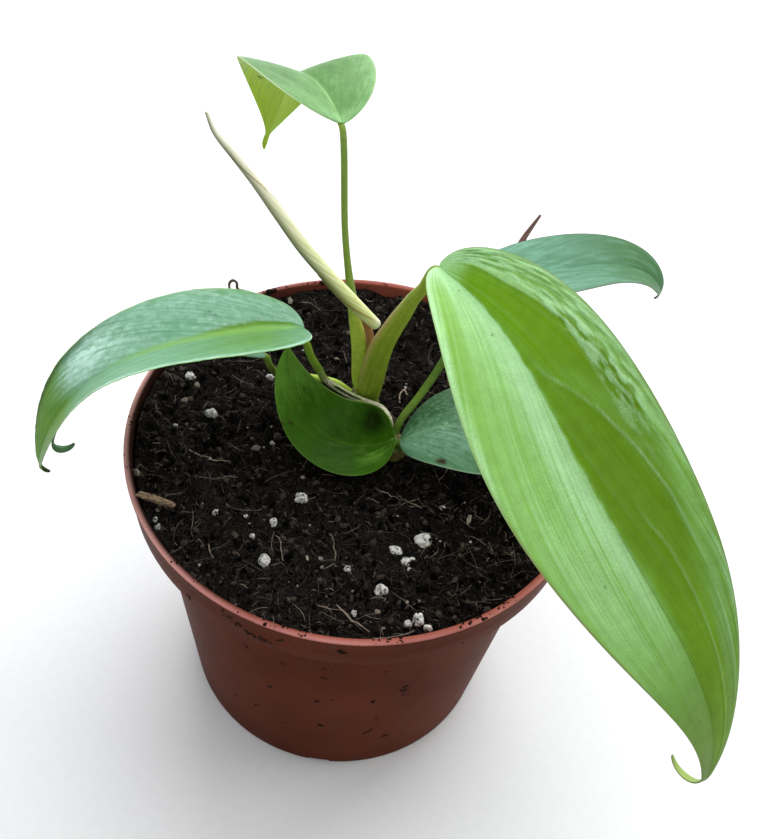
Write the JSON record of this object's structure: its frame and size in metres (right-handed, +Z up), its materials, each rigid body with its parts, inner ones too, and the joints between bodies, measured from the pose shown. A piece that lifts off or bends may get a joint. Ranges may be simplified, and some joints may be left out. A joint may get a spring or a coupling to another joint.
{
  "type": "potted philodendron",
  "caption": "Young philodendron with long drip-tipped leaves and one rolled new leaf, growing in soil in a round plastic nursery pot.",
  "frame": {"origin": "centre of the flat disc on the pot's underside, on the surface it stands on", "axes": "+Z up along the pot's axis; -Y towards the viewer of the picture, +X to the viewer's right"},
  "size_m": [0.1754, 0.157, 0.1981],
  "materials": {
    "stem": "satin yellow-green plant stem with brown patches",
    "leaf_bright": "satin bright green leaf",
    "leaf_blue_green": "satin blue-green leaf",
    "leaf_pale": "satin pale green leaf with a yellow-green underside",
    "leaf_dark": "satin dark green leaf",
    "new_leaf": "satin cream-green rolled leaf on a reddish stalk",
    "dried_bract": "dry papery brown",
    "pot": "satin terracotta-coloured plastic, lighter at the lip",
    "soil": "damp, matt, almost black potting soil with white perlite grains",
    "bark": "rough dry bark",
    "dead_root": "dry brown thread"
  },
  "bodies": {
    "root": {"stem_main": "stem", "stem_side": "stem", "leaf_1_front_right": "leaf_bright", "leaf_2_left": "leaf_blue_green", "leaf_3_top": "leaf_pale", "leaf_4_right": "leaf_blue_green", "leaf_5_small": "leaf_blue_green", "leaf_6_cupped": "leaf_dark", "leaf_7_under": "leaf_blue_green", "new_leaf_rolled": "new_leaf", "dried_bract": "dried_bract", "pot": "pot", "soil": "soil", "bark_chip": "bark", "dead_root": "dead_root"}
  },
  "joints": []
}
